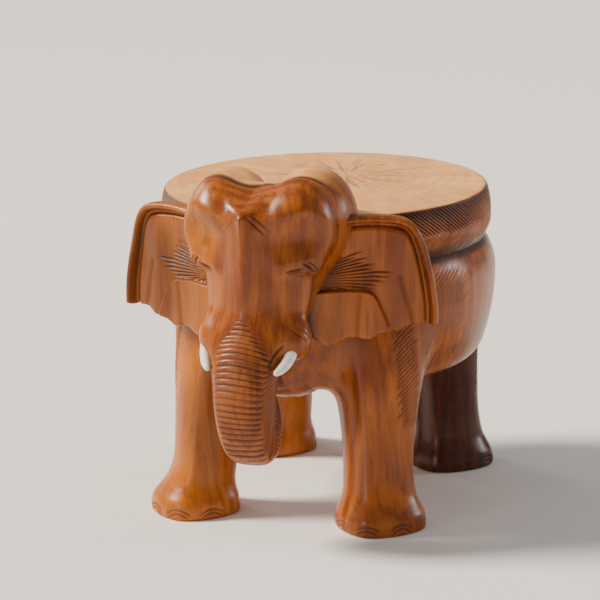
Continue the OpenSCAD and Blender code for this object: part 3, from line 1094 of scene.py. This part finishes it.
body, body_depth = sculpt("body", body_shape, low=(-150, -152, -6), high=(150, 152, 226), voxel=2.2,
                          carve=carve_body, fine=fine_body)
dress(body, body_depth, body_wood, "wood", "torso", "leg_front_left", "leg_front_right",
      "leg_rear_left", "leg_rear_right")

head, head_depth = sculpt("head_and_trunk", head_shape, low=(-84, -230, 60), high=(84, -50, 306), voxel=1.7,
                          carve=carve_head, fine=fine_head)
place_end_grain(head)
dress(head, head_depth, head_wood, "wood", "head", "trunk")

ear_left, ear_depth = sculpt("ear_left_plate", ear_shape, low=(20, -180, 150), high=(148, -96, 274),
                             voxel=1.2, carve=carve_ear, fine=fine_ear)
ear_right = mirrored(ear_left, "ear_right_plate")
dress(ear_left, ear_depth, body_wood, "wood", "ear_left")
dress(ear_right, ear_depth, body_wood, "wood", "ear_right")

tail, tail_depth = sculpt("tail_relief", tail_shape, low=(-14, 118, 98), high=(14, 156, 222), voxel=1.4,
                          carve=carve_tail, fine=all_points)
dress(tail, tail_depth, body_wood, "wood", "tail")

make_seat(seat_wood)
make_tusk("tusk_left_peg", 1.0, tusk_white, "tusk_left")
make_tusk("tusk_right_peg", RIGHT_TUSK, tusk_white, "tusk_right")

# ---- Floor, light and camera ----


def make_floor():
    """A plain pale floor, 12 m across."""
    half = 6.0
    corners = [(-half, -half, 0), (half, -half, 0), (half, half, 0), (-half, half, 0)]
    mesh = bpy.data.meshes.new("floor")
    mesh.from_pydata(corners, [], [(0, 1, 2, 3)])
    floor = add_object("floor", mesh)
    paint = bpy.data.materials.new("floor_paint")
    paint.use_nodes = True
    shader = paint.node_tree.nodes["Principled BSDF"]
    shader.inputs["Base Color"].default_value = (0.88, 0.85, 0.81, 1)
    shader.inputs["Roughness"].default_value = 0.9
    mesh.materials.append(paint)


# Weak windows that lift the shaded sides, left and right as the camera sees them: name, place, what it
# shines on, width and height, power, colour.
WINDOWS = (
    ("left_window", (-2.0, 1.0, 1.15), (0, 0, 0.2), (0.6, 0.8), 9.0, (1.0, 0.97, 0.92)),
    ("right_window", (2.0, 1.0, 0.72), (0, 0, 0.2), (0.4, 0.6), 14.0, (0.97, 0.98, 1.0)),
    ("low_window", (-1.0, -2.0, 0.3), (0, 0, 0.15), (0.25, 0.7), 7.0, (1.0, 0.97, 0.93)),
)


def make_window(name, place, target, size, power, colour):
    """A window: an area light of a width and height that faces its target."""
    lamp = bpy.data.lights.new(name, "AREA")
    lamp.shape = "RECTANGLE"
    lamp.size, lamp.size_y = size
    lamp.energy = power
    lamp.color = colour
    window = add_object(name, lamp)
    window.location = place
    window.rotation_euler = (Vector(target) - Vector(place)).to_track_quat("-Z", "Y").to_euler()


def make_sun():
    """Soft daylight from the elephant's right, in front and above."""
    lamp = bpy.data.lights.new("daylight", "SUN")
    lamp.energy = 6.4
    lamp.angle = math.radians(16.0)
    lamp.color = (1.0, 0.91, 0.79)
    sun = add_object("daylight", lamp)
    shines_along = Vector((2.2, 0.5, -1.95))
    sun.rotation_euler = shines_along.to_track_quat("-Z", "Y").to_euler()


def make_world():
    """Even light from the room's pale walls."""
    world = bpy.data.worlds.new("room")
    world.use_nodes = True
    background = world.node_tree.nodes["Background"]
    background.inputs["Color"].default_value = (0.95, 0.93, 0.9, 1)
    background.inputs["Strength"].default_value = 0.37
    bpy.context.scene.world = world


def make_camera():
    """Stands in front and to the elephant's left, well above the seat, with a long lens."""
    around = math.radians(19.29)
    distance = 2.774
    height = 0.837
    yaw = math.radians(-19.767)
    pitch = math.radians(-13.725)
    roll = math.radians(-0.944)
    data = bpy.data.cameras.new("camera")
    data.lens = 202.7
    data.sensor_width = 36.0
    data.clip_end = 50.0
    camera = add_object("camera", data)
    forward = Vector((math.sin(yaw) * math.cos(pitch), math.cos(yaw) * math.cos(pitch), math.sin(pitch)))
    right = Vector((math.cos(yaw), -math.sin(yaw), 0.0))
    up = right.cross(forward)
    right, up = right * math.cos(roll) + up * math.sin(roll), up * math.cos(roll) - right * math.sin(roll)
    turn = Matrix((right, up, -forward)).transposed()
    place = Vector((distance * math.sin(around), -distance * math.cos(around) + AXIS[1] * MM, height))
    camera.matrix_world = Matrix.Translation(place) @ turn.to_4x4()
    bpy.context.scene.camera = camera


make_floor()
make_world()
make_sun()
for row in WINDOWS:
    make_window(*row)
make_camera()
